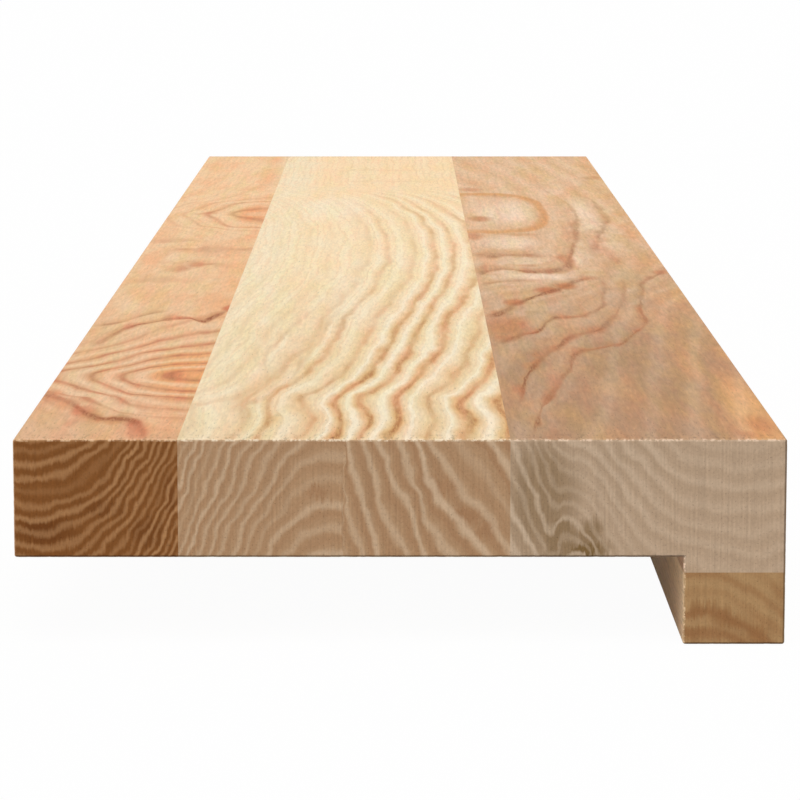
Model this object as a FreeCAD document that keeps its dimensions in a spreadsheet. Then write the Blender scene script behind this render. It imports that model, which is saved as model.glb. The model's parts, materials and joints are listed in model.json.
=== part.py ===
"""Window sill board: an edge-glued board with a nose strip glued under its front edge.

Three full-length staves are glued edge to edge. The front stave keeps a shallow lip below the
underside, along its front edge, and the nose strip is glued under that lip, so the joint lies a
little below the inner corner. The outer arrises are eased, and the glued edges stay square.

Frame, in millimetres: +X runs from the rear edge (window side) to the nose (room side), +Y along
the board, +Z up. The origin is the middle of the board's plan, level with the foot of the nose.
"""

import FreeCAD
import Part
import Sketcher

import os

# Driving dimensions, in millimetres, as they go into the sheet
SIZES = {
    "board_length": 1000.0,
    "board_thickness": 31.0,
    "rear_stave_width": 42.5,
    "middle_stave_width": 86.0,
    "front_stave_width": 71.5,
    "nose_width": 26.5,  # front to back
    "nose_drop": 23.0,  # from the underside of the board to the foot of the nose
    "lip_drop": 4.0,  # from the underside of the board to the nose strip's joint
    "arris_radius": 1.0,
}

# Two coordinates closer than this are the same place
TOLERANCE = 1e-6

# Half of the board's depth, as an expression on the sheet
HALF_DEPTH = "(sizes.rear_stave_width + sizes.middle_stave_width + sizes.front_stave_width) / 2"


def make_sheet(doc):
    """The sheet of driving dimensions, one named row each."""
    sheet = doc.addObject("Spreadsheet::Sheet", "sizes")
    for row, (name, value) in enumerate(SIZES.items(), start=1):
        sheet.set(f"A{row}", name)
        sheet.set(f"B{row}", str(value))
        sheet.setAlias(f"B{row}", name)
    doc.recompute()
    return sheet


def close(a, b):
    return abs(a - b) < TOLERANCE


def make_body(doc, label, x, z):
    """An empty body whose lower rear corner stands at x, z in the board's section."""
    body = doc.addObject("PartDesign::Body", label)
    body.Label = label
    body.setExpression("Placement.Base.x", x)
    body.setExpression("Placement.Base.z", z)
    return body


def draw_section(body, corners):
    """A closed outline of level and upright sides in the board's cross-section plane.

    The corners are start values that set the shape. The first one stays at the body's origin, and
    side i runs from corner i to the next.
    """
    sketch = body.newObject("Sketcher::SketchObject", f"{body.Label}_section")
    plane = next(f for f in body.Origin.OriginFeatures if f.Role == "XZ_Plane")
    sketch.AttachmentSupport = [(plane, "")]
    sketch.MapMode = "FlatFace"
    points = [FreeCAD.Vector(x, z, 0) for x, z in corners]
    count = len(points)
    for i in range(count):
        sketch.addGeometry(Part.LineSegment(points[i], points[(i + 1) % count]), False)
    for i in range(count):
        sketch.addConstraint(Sketcher.Constraint("Coincident", i, 2, (i + 1) % count, 1))
        level = close(points[i].y, points[(i + 1) % count].y)
        sketch.addConstraint(Sketcher.Constraint("Horizontal" if level else "Vertical", i))
    sketch.addConstraint(Sketcher.Constraint("Coincident", 0, 1, -1, 1))
    return sketch


def set_side(sketch, side, name, expression):
    """Gives one side of a section its length, bound to the sheet."""
    length = sketch.Geometry[side].length()
    index = sketch.addConstraint(Sketcher.Constraint("Distance", side, length))
    sketch.renameConstraint(index, name)
    sketch.setExpression(f"Constraints.{name}", expression)


def pad_section(doc, body, sketch):
    """Runs the section along the whole board, half of it to each side of the middle."""
    pad = body.newObject("PartDesign::Pad", f"{body.Label}_length")
    pad.Profile = sketch
    pad.SideType = "Symmetric"
    pad.setExpression("Length", "sizes.board_length")
    doc.recompute()
    return pad


def ease_arrises(doc, body, pad, stays_square):
    """Rounds the edges of the padded section, apart from those that stays_square picks by their middle."""
    names = []
    for number, edge in enumerate(pad.Shape.Edges, start=1):
        if not stays_square(edge.CenterOfMass):
            names.append(f"Edge{number}")
    fillet = body.newObject("PartDesign::Fillet", f"{body.Label}_arrises")
    fillet.Base = (pad, names)
    fillet.setExpression("Radius", "sizes.arris_radius")
    doc.recompute()


def make_rear_stave(doc, sheet):
    """The stave at the window, glued along its front edge."""
    width, thickness = sheet.rear_stave_width, sheet.board_thickness
    body = make_body(doc, "rear_stave", f"-{HALF_DEPTH}", "sizes.nose_drop")
    section = draw_section(body, [(0, 0), (width, 0), (width, thickness), (0, thickness)])
    set_side(section, 0, "stave_width", "sizes.rear_stave_width")
    set_side(section, 1, "thickness", "sizes.board_thickness")
    pad = pad_section(doc, body, section)
    ease_arrises(doc, body, pad, lambda middle: close(middle.x, width))
    return body


def make_middle_stave(doc, sheet):
    """The wide middle stave, glued along both edges."""
    width, thickness = sheet.middle_stave_width, sheet.board_thickness
    body = make_body(doc, "middle_stave", f"sizes.rear_stave_width - {HALF_DEPTH}", "sizes.nose_drop")
    section = draw_section(body, [(0, 0), (width, 0), (width, thickness), (0, thickness)])
    set_side(section, 0, "stave_width", "sizes.middle_stave_width")
    set_side(section, 1, "thickness", "sizes.board_thickness")
    pad = pad_section(doc, body, section)
    ease_arrises(doc, body, pad, lambda middle: close(middle.x, 0) or close(middle.x, width))
    return body


def make_front_stave(doc, sheet):
    """The stave at the room side, with the lip that the nose strip is glued under."""
    width, thickness = sheet.front_stave_width, sheet.board_thickness
    lip, lip_back = sheet.lip_drop, width - sheet.nose_width
    body = make_body(doc, "front_stave", f"{HALF_DEPTH} - sizes.front_stave_width", "sizes.nose_drop")
    section = draw_section(
        body,
        [(0, 0), (lip_back, 0), (lip_back, -lip), (width, -lip), (width, thickness), (0, thickness)],
    )
    set_side(section, 1, "lip_drop", "sizes.lip_drop")
    set_side(section, 2, "lip_width", "sizes.nose_width")
    set_side(section, 4, "stave_width", "sizes.front_stave_width")
    set_side(section, 5, "thickness", "sizes.board_thickness")
    pad = pad_section(doc, body, section)

    def stays_square(middle):
        on_middle_stave = close(middle.x, 0)
        on_nose_strip = close(middle.z, -lip)
        in_inner_corner = close(middle.x, lip_back) and close(middle.z, 0)
        return on_middle_stave or on_nose_strip or in_inner_corner

    ease_arrises(doc, body, pad, stays_square)
    return body


def make_nose_strip(doc, sheet):
    """The strip glued under the front stave's lip."""
    width, height = sheet.nose_width, sheet.nose_drop - sheet.lip_drop
    body = make_body(doc, "nose_strip", f"{HALF_DEPTH} - sizes.nose_width", "0")
    section = draw_section(body, [(0, 0), (width, 0), (width, height), (0, height)])
    set_side(section, 0, "strip_width", "sizes.nose_width")
    set_side(section, 1, "strip_height", "sizes.nose_drop - sizes.lip_drop")
    pad = pad_section(doc, body, section)
    ease_arrises(doc, body, pad, lambda middle: close(middle.z, height))
    return body


def check(doc, bodies):
    """Stops the build if a feature failed or a piece isn't one sound solid."""
    for item in doc.Objects:
        if "Invalid" in item.State or "Error" in item.State:
            raise RuntimeError(f"{item.Label} failed: {item.State}")
    for body in bodies:
        shape = body.Shape
        if shape.isNull() or not shape.isValid() or len(shape.Solids) != 1:
            raise RuntimeError(f"{body.Label} is not one sound solid")


def main():
    doc = FreeCAD.newDocument("window_sill_board")
    sheet = make_sheet(doc)
    bodies = [
        make_rear_stave(doc, sheet),
        make_middle_stave(doc, sheet),
        make_front_stave(doc, sheet),
        make_nose_strip(doc, sheet),
    ]
    doc.recompute()
    check(doc, bodies)
    os.makedirs("parts", exist_ok=True)
    for body in bodies:
        body.Shape.exportStep(f"parts/{body.Label}.step")
        print(body.Label, body.Shape.BoundBox, f"{body.Shape.Volume:.0f} mm3")


main()
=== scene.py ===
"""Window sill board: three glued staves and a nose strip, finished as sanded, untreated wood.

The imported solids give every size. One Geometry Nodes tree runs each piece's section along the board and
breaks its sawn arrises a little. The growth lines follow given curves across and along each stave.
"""

import json
import math

import bpy
from mathutils import Color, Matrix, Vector

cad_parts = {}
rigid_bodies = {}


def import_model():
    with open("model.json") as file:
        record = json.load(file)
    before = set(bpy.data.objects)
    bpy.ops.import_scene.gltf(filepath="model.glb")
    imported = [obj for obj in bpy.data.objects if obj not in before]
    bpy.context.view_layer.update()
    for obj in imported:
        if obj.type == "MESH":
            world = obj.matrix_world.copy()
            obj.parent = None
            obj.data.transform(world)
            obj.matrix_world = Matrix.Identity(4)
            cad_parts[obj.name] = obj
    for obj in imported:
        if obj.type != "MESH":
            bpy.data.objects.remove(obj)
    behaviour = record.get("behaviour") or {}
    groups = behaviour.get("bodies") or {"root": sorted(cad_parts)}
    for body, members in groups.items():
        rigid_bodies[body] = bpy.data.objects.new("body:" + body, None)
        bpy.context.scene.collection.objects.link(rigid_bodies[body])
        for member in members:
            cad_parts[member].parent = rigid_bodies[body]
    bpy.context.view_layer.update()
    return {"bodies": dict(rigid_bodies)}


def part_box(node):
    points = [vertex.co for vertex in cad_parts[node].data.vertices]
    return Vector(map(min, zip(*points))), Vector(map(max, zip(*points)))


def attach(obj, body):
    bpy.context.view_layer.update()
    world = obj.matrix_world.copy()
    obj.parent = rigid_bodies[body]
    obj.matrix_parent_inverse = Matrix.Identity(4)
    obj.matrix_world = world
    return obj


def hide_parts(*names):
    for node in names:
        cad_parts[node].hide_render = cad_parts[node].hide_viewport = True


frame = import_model()

bl_info = {
    "name": "Window sill board",
    "version": (1, 0, 0),
    "blender": (4, 5, 0),
    "location": "3D View > Sidebar > Sill board",
    "description": "Builds the staves and the nose strip of a glued window sill board in sanded wood",
    "category": "Object",
}

MM = 0.001
IN_MM = 1000.0
BODY = next(iter(frame["bodies"]))
BOXES = {name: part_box(name) for name in ("rear_stave", "middle_stave", "front_stave", "nose_strip")}

# Levels and ends that the staves share, from the frame
NEAR_END = BOXES["rear_stave"][0].y
FAR_END = BOXES["rear_stave"][1].y
UNDERSIDE = BOXES["rear_stave"][0].z
BOARD_LENGTH = (FAR_END - NEAR_END) * IN_MM

# The glued sides of each section, counted from its underside, and how strongly pale torn fibre and painted
# highlight mark its sawn rear arris
GLUED_SIDES = {"rear_stave": {1}, "middle_stave": {1, 3}, "front_stave": {2, 5}, "nose_strip": {2}}
REAR_FIBRE_AND_HIGHLIGHT = {"rear_stave": 0.1, "middle_stave": 0.0, "front_stave": 1.8, "nose_strip": 1.8}

# Layout of a stave's surface for a baked map: the long faces unrolled over the first part of its width, with
# the glued ones narrowed, and the two sawn ends in the rest
BAKE_LAYOUT = "OFBake"
LONG_FACES_WIDTH = 0.62
GLUED_SHARE = 0.1
LAYOUT_MARGIN = 0.01

# How finely a section and its run along the board are divided
ROUNDING_STEPS = 5
GLUED_SPACING = 5 * MM
STATION_SPACING = 50 * MM
WELD = 0.01 * MM

# How broken a sawn arris is at distances from its end, in arris radii, until it is whole
CHIP_FADE = [(1.0, 0.5), (1.5, 0.25), (2.4, 0.0)]
SHARP_ANGLE = math.radians(40.0)

# Figure of each piece. Places across are millimetres from the piece's own rear side, places along are
# millimetres from the near end and places deep are millimetres below the piece's top.
# along + across counts the rings on the long faces, after the figure has slid sideways by drift.
# ring_bold and along_bold say how bold a ring's line is, core_along how much of it its dark core takes, and
# line_core and line_glow how far the core and the warm glow on each side of it reach, in rings.
# fine is the strength of the finest lines between the rings.
# drawn are single growth lines through (along, across) points, with a half width, the darkness at the first
# and at the last point, and the strength of the pale band beside them.
# oval is the border round a bump in the grain: along, across, half length, half width.
# marks, stains, pale_marks and tint_marks are soft spots: along, across, half length, half width, strength.
# tone_places are the shares of the length where the near, middle and far colours lie, tone_slant the shift
# of these places along for each millimetre across, and tint_across the strength of the tint.
# end_across + deep * end_per_mm counts the rings on the sawn ends. end_bold says how bold their light lines
# are, end_fade how far these reach, in rings, and end_shadow how strong the dark lines beside them are.
# end_marks are stains on the ends: across, deep, half width, half height, strength.
# wander and tremble say how far the grain strays, slowly and quickly, and patches and streaks how much the
# colour varies.
PLAIN_FIGURE = {
    "along": [(0, 0), (1000, 0)],
    "drift": [(0, 0), (1000, 0)],
    "drawn": [],
    "oval": None,
    "stains": [],
    "tint_marks": [],
    "tone_slant": 0.0,
}
FIGURES = {
    "rear_stave": {
        **PLAIN_FIGURE,
        "along": [
            (0, -5.5), (30, -4.8), (53, -3.5), (58, -3.2), (68, -2.75), (78, -2.45), (84, -1.9), (92, -1.4),
            (103, -0.95), (110, -0.6), (117, -0.36), (125, -0.3), (132, -0.42), (138, -0.7), (145, -1.1),
            (157, -1.75), (165, -2.05), (172, -2.3), (180, -2.75), (190, -3.2), (204, -3.7), (215, -4.05),
            (236, -4.6), (260, -5.2), (290, -6.0), (400, -7.0), (480, -6.9), (560, -6.0), (585, -5.0),
            (600, -4.0), (640, -3.3), (655, -3.0), (672, -3.3), (710, -4.0), (725, -5.0), (765, -6.0),
            (850, -6.7), (1000, -7.2),
        ],
        "across": [
            (-20, -5.2), (0, -3.6), (10, -2.7), (20, -1.7), (28, -1.0), (34, -0.65), (43, -0.45), (60, 0),
        ],
        "ring_bold": [(-9, 0.2), (-7, 0.3), (-6, 0.5), (-5, 0.85), (-4, 0.9), (-2, 0.95), (0, 1)],
        "along_bold": [
            (0, 0.25), (40, 0.35), (75, 0.75), (110, 0.85), (200, 0.76), (270, 0.6), (320, 0.35), (560, 0.3),
            (600, 0.6), (740, 0.55), (820, 0.3), (1000, 0.25),
        ],
        "core_along": [(0, 0.55), (300, 0.6), (1000, 0.4)],
        "line_core": 0.13,
        "line_glow": (0.24, 0.34),
        "fine": 0.12,
        "drawn": [
            (
                [(88, 0), (70, 8), (50, 14), (38, 18), (36, 25), (28, 30), (10, 33), (0, 34)],
                1.6, 1.0, 1.0, 0.5,
            ),
            (
                [(195, 5), (222, 9), (240, 12), (255, 19), (265, 25), (267, 31), (262, 37), (292, 43)],
                1.2, 0.7, 1.0, 0.4,
            ),
            ([(243, 0), (258, 9), (275, 15), (290, 22)], 1.0, 0.45, 0.45, 0.4),
            ([(376, 4), (386, 16), (383, 30)], 3.0, 0.2, 0.2, 0.4),
            ([(416, 12), (432, 20), (441, 26), (440, 36)], 3.0, 0.4, 0.4, 0.4),
            ([(497, 10), (500, 28), (497, 48)], 3.6, 0.3, 0.3, 0.3),
            ([(530, -6), (534, 8), (536, 20)], 2.4, 0.25, 0.25, 0.3),
        ],
        "stains": [
            (296, 42, 12, 3, 1.0), (441, 24, 16, 5, 0.5), (660, 18, 8, 5, 0.4), (52, 14, 16, 5, 0.6),
            (13, 32, 16, 4, 0.5), (124, 34, 10, 4, 0.6),
        ],
        "marks": [(296, 42, 14, 3, 1.0), (440, 25, 18, 5, 0.3), (656, 14, 8, 5, 0.4), (124, 36, 11, 4, 0.5)],
        "pale_marks": [
            (300, 9, 26, 5, 0.8), (400, 14, 30, 5, 0.5), (470, 14, 44, 5, 0.55), (545, 24, 14, 12, 0.35),
            (980, 45, 330, 10, 1.0),
        ],
        "tint_marks": [
            (130, 38, 85, 18, 1.0), (300, 40, 50, 9, 0.6), (655, 37, 65, 11, 0.9), (30, 36, 40, 10, 0.5),
        ],
        "tone_places": (0.05, 0.35, 0.8),
        "tint_across": [(0, 0), (25, 0), (36, 0.15), (42.5, 0.2)],
        "end_across": [(0, 0.1), (4, 0), (14, 0.7), (24, 2.7), (34, 6.4), (42.5, 10.8)],
        "end_per_mm": [(0, 0.29), (42.5, 0.24)],
        "end_bold": [(0, 0.64), (20, 0.62), (30, 0.74), (42.5, 0.76)],
        "end_fade": 0.4,
        "end_shadow": 0.3,
        "end_marks": [(35, 24, 7, 6, 0.6), (8, 24, 12, 5, 0.8), (22, 18, 10, 4, 0.5), (41, 15, 2, 9, 0.6)],
        "wander": 0.45,
        "tremble": 0.5,
        "patches": 0.8,
        "streaks": 0.12,
    },
    "middle_stave": {
        **PLAIN_FIGURE,
        "across": [
            (-45, -5.4), (-10, -2.0), (8, -0.35), (14.5, 0), (21.5, 1), (32, 2), (40.5, 3), (47.5, 4),
            (56, 5), (66, 6), (75, 7), (86, 8), (140, 13),
        ],
        "drift": [
            (0, -0.7), (35, 1.2), (70, -0.7), (90, 2), (130, 9), (150, 10.5), (200, 14.5), (250, 17),
            (300, 21.5), (350, 26), (400, 29.5), (450, 31), (500, 31.5), (550, 31), (600, 29), (650, 25),
            (700, 19), (750, 8), (790, -14), (815, -45), (1000, -45),
        ],
        "ring_bold": [
            (-6, 0.1), (-1, 0.2), (0, 0.4), (1, 0.6), (2, 0.5), (3, 1), (4, 0.9), (5, 1), (6, 0.5), (7, 1),
            (8, 0.9), (13, 0.5),
        ],
        "along_bold": [
            (0, 1.05), (250, 0.9), (400, 0.7), (540, 0.62), (650, 0.5), (740, 0.3), (790, 0.1), (1000, 0.08),
        ],
        "core_along": [(0, 1), (150, 0.85), (450, 0.45), (1000, 0.35)],
        "line_core": 0.15,
        "line_glow": (0.3, 0.42),
        "fine": 0.2,
        "drawn": [
            ([(60, 0), (70, 7), (90, 14), (120, 19), (160, 17), (220, 21), (300, 29)], 1.5, 0.3, 0.3, 0.3),
            (
                [(60, 14), (80, 20), (100, 24), (130, 27), (180, 29.5), (240, 33.5), (300, 38)],
                1.6, 0.35, 0.2, 0.5,
            ),
        ],
        "marks": [(835, 55, 10, 45, 0.25), (848, 60, 5, 40, 0.15), (905, 45, 12, 45, 0.2)],
        "pale_marks": [(680, 30, 90, 22, 0.5), (330, 40, 200, 9, 0.4)],
        "tone_places": (0.05, 0.45, 0.85),
        "tint_across": [(0, 0.6), (10, 0.55), (24, 0.1), (86, 0)],
        "end_across": [
            (0, 0), (10, 4.0), (20, 7.2), (28, 9.2), (36, 10.2), (43, 10.3), (43.4, 10.0), (47.2, 9),
            (51.9, 8), (56.5, 7), (61.2, 6), (64.8, 5), (72.3, 4), (80.8, 3), (86.8, 2),
        ],
        "end_per_mm": [(0, 0.16), (43, 0.16), (43.4, 0.067), (52, 0.067), (60, 0.09), (86, 0.095)],
        "end_bold": [(0, 0.65), (30, 0.6), (43, 0.65), (44, 0.85), (86, 0.85)],
        "end_fade": 0.3,
        "end_shadow": 0.4,
        "end_marks": [(68, 12, 8, 4, 0.35), (74, 20, 7, 4, 0.45), (36, 14, 5, 2, 0.35), (80, 24, 5, 4, 0.4)],
        "wander": 0.7,
        "tremble": 0.8,
        "patches": 0.5,
        "streaks": 0.1,
    },
    "front_stave": {
        **PLAIN_FIGURE,
        "along": [(0, 0), (300, 2.2), (400, 4.4), (670, 6.2), (1000, 4.4)],
        "across": [(-20, 2.6), (0, 1.6), (29, 0), (48, -1.5), (71.5, -3.4), (95, -5)],
        "ring_bold": [(-6, 0.16), (8, 0.16)],
        "along_bold": [(0, 1), (1000, 1)],
        "core_along": [(0, 0.8), (1000, 0.8)],
        "line_core": 0.05,
        "line_glow": (0.3, 0.5),
        "fine": 0.1,
        "drawn": [
            (
                [
                    (10, 6), (90, 14.5), (140, 22), (175, 26), (185, 31), (196, 37), (210, 44), (235, 49),
                    (290, 53), (350, 57.5), (378, 60), (412, 68.5), (430, 73),
                ],
                1.0, 0.7, 0.5, 0.1,
            ),
            (
                [
                    (70, 5), (150, 12), (176, 17), (196, 22), (216, 26), (230, 32), (246, 38.5), (280, 44),
                    (400, 54),
                ],
                1.2, 0.9, 0.3, 0.1,
            ),
            (
                [
                    (200, 3), (222, 11), (236, 17), (262, 21), (270, 26), (277, 34), (292, 38.5),
                    (330, 42.5), (395, 46),
                ],
                1.3, 1.0, 0.3, 0.15,
            ),
            (
                [(272, 1), (290, 8), (306, 12), (326, 17), (346, 24), (362, 30), (380, 35), (396, 43)],
                1.3, 1.0, 0.6, 0.2,
            ),
            ([(370, 1), (378, 8), (384, 16), (390, 27)], 1.3, 0.4, 0.3, 0.6),
            (
                [
                    (404, 1), (420, 7), (423, 12), (414, 20), (416, 28), (426, 34), (450, 36), (500, 40),
                    (560, 44), (620, 47.5), (690, 48.5), (740, 45), (770, 41), (820, 39),
                ],
                2.1, 0.75, 0.3, 0.55,
            ),
            ([(470, 2), (475, 14), (476, 28)], 2.6, 0.75, 0.6, 0.6),
            (
                [(470, 46), (540, 52), (600, 58), (660, 60.5), (715, 60), (755, 57), (790, 52)],
                2.4, 0.4, 0.4, 0.5,
            ),
        ],
        "oval": (665, 10, 97, 25.5),
        "stains": [
            (245, 6, 46, 11, 0.55), (214, 6, 12, 5, 0.5), (312, 11, 16, 5, 0.8), (352, 24, 15, 7, 0.9),
            (366, 31, 16, 6, 0.9), (236, 35, 16, 5, 0.5), (412, 68, 12, 4, 0.6), (553, 2, 22, 6, 0.6),
            (632, 7, 16, 7, 0.3), (785, 5, 14, 9, 0.5), (462, 35, 24, 4, 0.5), (394, 41, 12, 5, 0.4),
            (26, 67, 26, 6, 0.6), (8, 63, 12, 5, 0.4),
        ],
        "marks": [
            (245, 8, 52, 10, 0.6), (632, 7, 20, 8, 0.9), (855, 66, 16, 7, 0.9), (60, 43, 60, 7, 0.3),
            (437, 20, 9, 6, 0.7), (750, 18, 22, 14, 0.5), (460, 52, 70, 8, 0.5), (530, 51, 12, 4, 0.6),
            (480, 65, 45, 6, 0.45), (560, 20, 9, 16, 0.5),
        ],
        "pale_marks": [
            (396, 22, 18, 20, 0.8), (640, 53, 120, 8, 0.7), (665, 18, 85, 18, 0.8), (525, 16, 40, 18, 0.7),
            (450, 40, 40, 3, 0.6), (770, 43, 30, 8, 0.45),
        ],
        "tint_marks": [(40, 67, 130, 11, 1.0), (150, 58, 60, 6, 0.5)],
        "tone_places": (0.14, 0.4, 0.66),
        "tone_slant": 1.3,
        "tint_across": [(0, 0), (52, 0), (62, 0.15), (71.5, 0.4)],
        "end_across": [
            (0, 0), (5.5, -1.6), (8.6, -2.9), (11.1, -4.0), (14, -4.8), (17, -5.2), (22, -5.7), (30, -7.2),
            (40, -9.1), (48, -10.2), (60, -10.4), (71.5, -9.8),
        ],
        "end_per_mm": [
            (0, 0.11), (8, 0.14), (12, 0.18), (17, 0.24), (23, 0.19), (34, 0.16), (48, 0.19), (71.5, 0.17),
        ],
        "end_bold": [(0, 0.9), (10, 0.8), (20, 0.75), (36, 0.6), (46, 0.42), (71.5, 0.38)],
        "end_fade": 0.34,
        "end_shadow": 0.25,
        "end_marks": [
            (8, 15, 14, 24, 0.55), (13, 25, 9, 8, 0.65), (19, 29, 10, 4, 0.9), (11, 29, 4, 4, 0.7),
            (21, 25, 6, 6, 0.65),
        ],
        "wander": 0.6,
        "tremble": 0.9,
        "patches": 0.8,
        "streaks": 0.2,
    },
    "nose_strip": {
        **PLAIN_FIGURE,
        "along": [(0, 0), (300, 1.2), (620, 0.6), (1000, 2.0)],
        "across": [(-20, -2.5), (0, 0), (26.5, 3.2), (50, 6)],
        "drift": [(0, 0), (350, 4), (700, -3), (1000, 2)],
        "ring_bold": [(-6, 0.2), (0, 0.25), (10, 0.2)],
        "along_bold": [(0, 0.6), (1000, 0.6)],
        "core_along": [(0, 0.8), (1000, 0.8)],
        "line_core": 0.1,
        "line_glow": (0.2, 0.4),
        "fine": 0.2,
        "marks": [(260, 10, 40, 5, 0.3)],
        "pale_marks": [(600, 12, 90, 6, 0.3)],
        "tone_places": (0.0, 0.5, 1.0),
        "tint_across": [(0, 0), (26.5, 0.3)],
        "end_across": [(0, -0.1), (6, 0), (12, -0.3), (18, -0.9), (24, -1.75), (26.5, -2.1)],
        "end_per_mm": [(0, 0.19), (26.5, 0.19)],
        "end_bold": [(0, 0.8), (26.5, 0.7)],
        "end_fade": 0.42,
        "end_shadow": 0.2,
        "end_marks": [
            (5, 9.7, 7, 3.2, 0.5), (11, 12.5, 7, 4, 0.55), (19, 16.5, 5, 6, 0.6), (3, 16.5, 7, 3.4, 0.4),
            (16, 15, 14, 7, 0.35), (25, 5, 3, 6, 0.3),
        ],
        "wander": 1.0,
        "tremble": 1.0,
        "patches": 0.5,
        "streaks": 0.14,
    },
}

# How the figure of the top carries on down the sides and underneath
LEAN_PER_MM = 0.35
RINGS_PER_MM_DEEP = 0.15
MARK_DEPTH = 9.0

# How far beside a light line of the end grain its dark line runs, in rings
END_SHADOW = 0.42

# A drawn growth line is followed in a plan shortened this much along the board. It fades in and out round
# its ends, over millimetres of that plan. Its parts are as wide as these numbers times its half width.
PLAN_SHORTENING = 5.0
FADE_IN = (-3.0, 5.0)
FADE_OUT = (-8.0, 3.0)
DRAWN_CORE = (0.2, 1.3)
DRAWN_GLOW = (1.8, 4.5)
DRAWN_PALE_START = (1.2, 2.6)
DRAWN_PALE_STOP = (3.0, 7.0)

# The finest lines between two rings, and how far from a sawn end its torn pores and pits reach
FINE_PER_RING = 3.0
TORN_REACH = 60.0
PIT_REACH = 14.0

# Sizes of what varies in the wood, in millimetres across, along and deep, and the range of the noise over
# which it comes in
BROAD_STREAK = (1.8, 60.0, 1.8)
SPECKLE = (1.4, 12.0, 1.4)
STREAK_RANGE = (0.25, 0.75)
FINE_GRAIN, GRAIN_RANGE = (0.8, 8.0, 0.8), (0.3, 0.7)
LONG_PORE, LONG_PORE_RANGE = (0.5, 4.5, 0.5), (0.64, 0.78)
END_PORE, END_PORE_RANGE = (0.5, 0.5, 0.5), (0.62, 0.74)
SAW_MARK, SAW_MARK_RANGE = (0.55, 400.0, 26.0), (0.3, 0.7)
SPECK, SPECK_RANGE = (1.1, 1.1, 1.1), (0.48, 0.6)
PIT, PIT_RANGE = (1.5, 5.0, 1.5), (0.56, 0.66)
TONE_PATCH, TONE_PATCH_RANGE = (7.0, 80.0, 7.0), (0.42, 0.66)
BLUSH_RANGE = (0.42, 0.6)
TINT_PATCH, TINT_PATCH_RANGE = (16.0, 60.0, 16.0), (0.35, 0.65)
THICK_PART, THICK_PART_RANGE = (11.0, 34.0, 11.0), (0.36, 0.64)
DARK_PART, DARK_PART_RANGE = (7.0, 45.0, 7.0), (0.36, 0.62)
BROKEN_LINE_RANGE = (0.36, 0.58)
CHIP_RANGE = (0.48, 0.72)

# How much the lines and the tint vary with it, from the least to the most
THICKNESS = (0.6, 1.7)
DARKNESS = (0.4, 1.0)
WARMTH = (0.7, 1.0)
BROKEN_LINE = (0.35, 1.0)
PATCHY_TINT = (-0.15, 0.3)
END_BOLDNESS = (0.3, 1.0)

# Strengths of the parts of the figure, and of the torn fibre and the highlight painted along the sawn
# arrises
PALE_BAND = 0.7
OVAL_GLOW = 0.35
GLOW_STRENGTH = 0.9
BLUSH_IN_LINES = 0.4
TORN_PORES = 0.05
LEAST_SPECK_AND_HIGHLIGHT = 0.12
SPECK_AND_HIGHLIGHT_STRENGTH = 0.6

# Share of its light that the wood keeps, as grain and saw marks vary it, in pores and pits, and in the shade
# painted along the lower and room-side rims of the sawn ends
GRAIN_LIGHT = (0.93, 1.07)
SAW_MARK_LIGHT = (0.92, 1.08)
PORE_LIGHT = 0.75
PIT_LIGHT = 0.74
PAINTED_EDGE_SHADE_LIGHT = 0.4

# Roughness and fine relief of the sanded wood
ROUGHNESS = 0.62
STREAK_ROUGHNESS = 0.16
END_ROUGHNESS = 0.1
SPECULAR = 0.1
RELIEF_DEPTH = 0.15 * MM
RELIEF_STRENGTH = 0.35
STREAK_RELIEF = 0.3
LINE_RELIEF = -0.25
PORE_RELIEF = 0.5
SAW_MARK_RELIEF = 0.5

# Sizes of the bends in the grain, and how far they shift it
SLOW_BEND, SLOW_SHIFT = (13.0, 55.0, 13.0), (5.0, 22.0, 5.0)
QUICK_BEND, QUICK_SHIFT = (3.2, 15.0, 3.2), (0.9, 4.0, 0.9)
END_SLOW_BEND, END_SLOW_SHIFT = (9.0, 300.0, 9.0), (5.0, 0.0, 5.0)
END_QUICK_BEND, END_QUICK_SHIFT = (2.6, 300.0, 2.6), (0.5, 0.0, 0.5)
END_TEAR, END_TEAR_SHIFT = (0.6, 300.0, 7.0), (0.0, 0.0, 1.5)
STAIN_SMEAR = (3.0, 3.0, 3.0)

# Colours to multiply by: plain wood, rosy patches and olive patches
PLAIN_TONE = (1.0, 1.02, 1.05, 1.0)
ROSY_TONE = (1.05, 0.94, 0.93, 1.0)
OLIVE_TONE = (0.95, 1.0, 0.89, 1.0)

# The floor's own colour and the camera's film
FLOOR_GREY = (0.9, 0.9, 0.9, 1.0)
SENSOR_WIDTH = 36.0

# Name and description of each colour that a piece's wood has
WOOD_COLOURS = {
    "near": ("Near", "Face colour at the near end"),
    "middle": ("Middle", "Face colour halfway along"),
    "far": ("Far", "Face colour at the far end"),
    "tint": ("Tint", "Face colour along one side and in soft spots"),
    "glow": ("Glow", "Warm wood beside the lines"),
    "blush": ("Blush", "Reddish places in the lines"),
    "line": ("Line", "Late wood lines on the faces"),
    "pale": ("Pale", "Early wood between the lines"),
    "end_ground": ("End ground", "Ground of the end grain"),
    "end_dark": ("End stain", "Stains on the end grain"),
    "end_line": ("End line", "Growth lines of the end grain"),
}


def colour(kind, red, green, blue):
    """A colour setting of the wood, given as it looks on screen, from 0 to 255."""
    name, description = WOOD_COLOURS[kind]
    return bpy.props.FloatVectorProperty(
        name=name,
        description=description,
        default=(red / 255, green / 255, blue / 255),
        subtype="COLOR_GAMMA",
        min=0.0,
        max=1.0,
    )


def linear(setting):
    """A colour setting as the shaders take it."""
    light = Color(setting).from_srgb_to_scene_linear()
    return (light.r, light.g, light.b, 1.0)


def metres(name, description, default):
    """A length setting, in metres."""
    return bpy.props.FloatProperty(name=name, description=description, default=default, unit="LENGTH")


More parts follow.
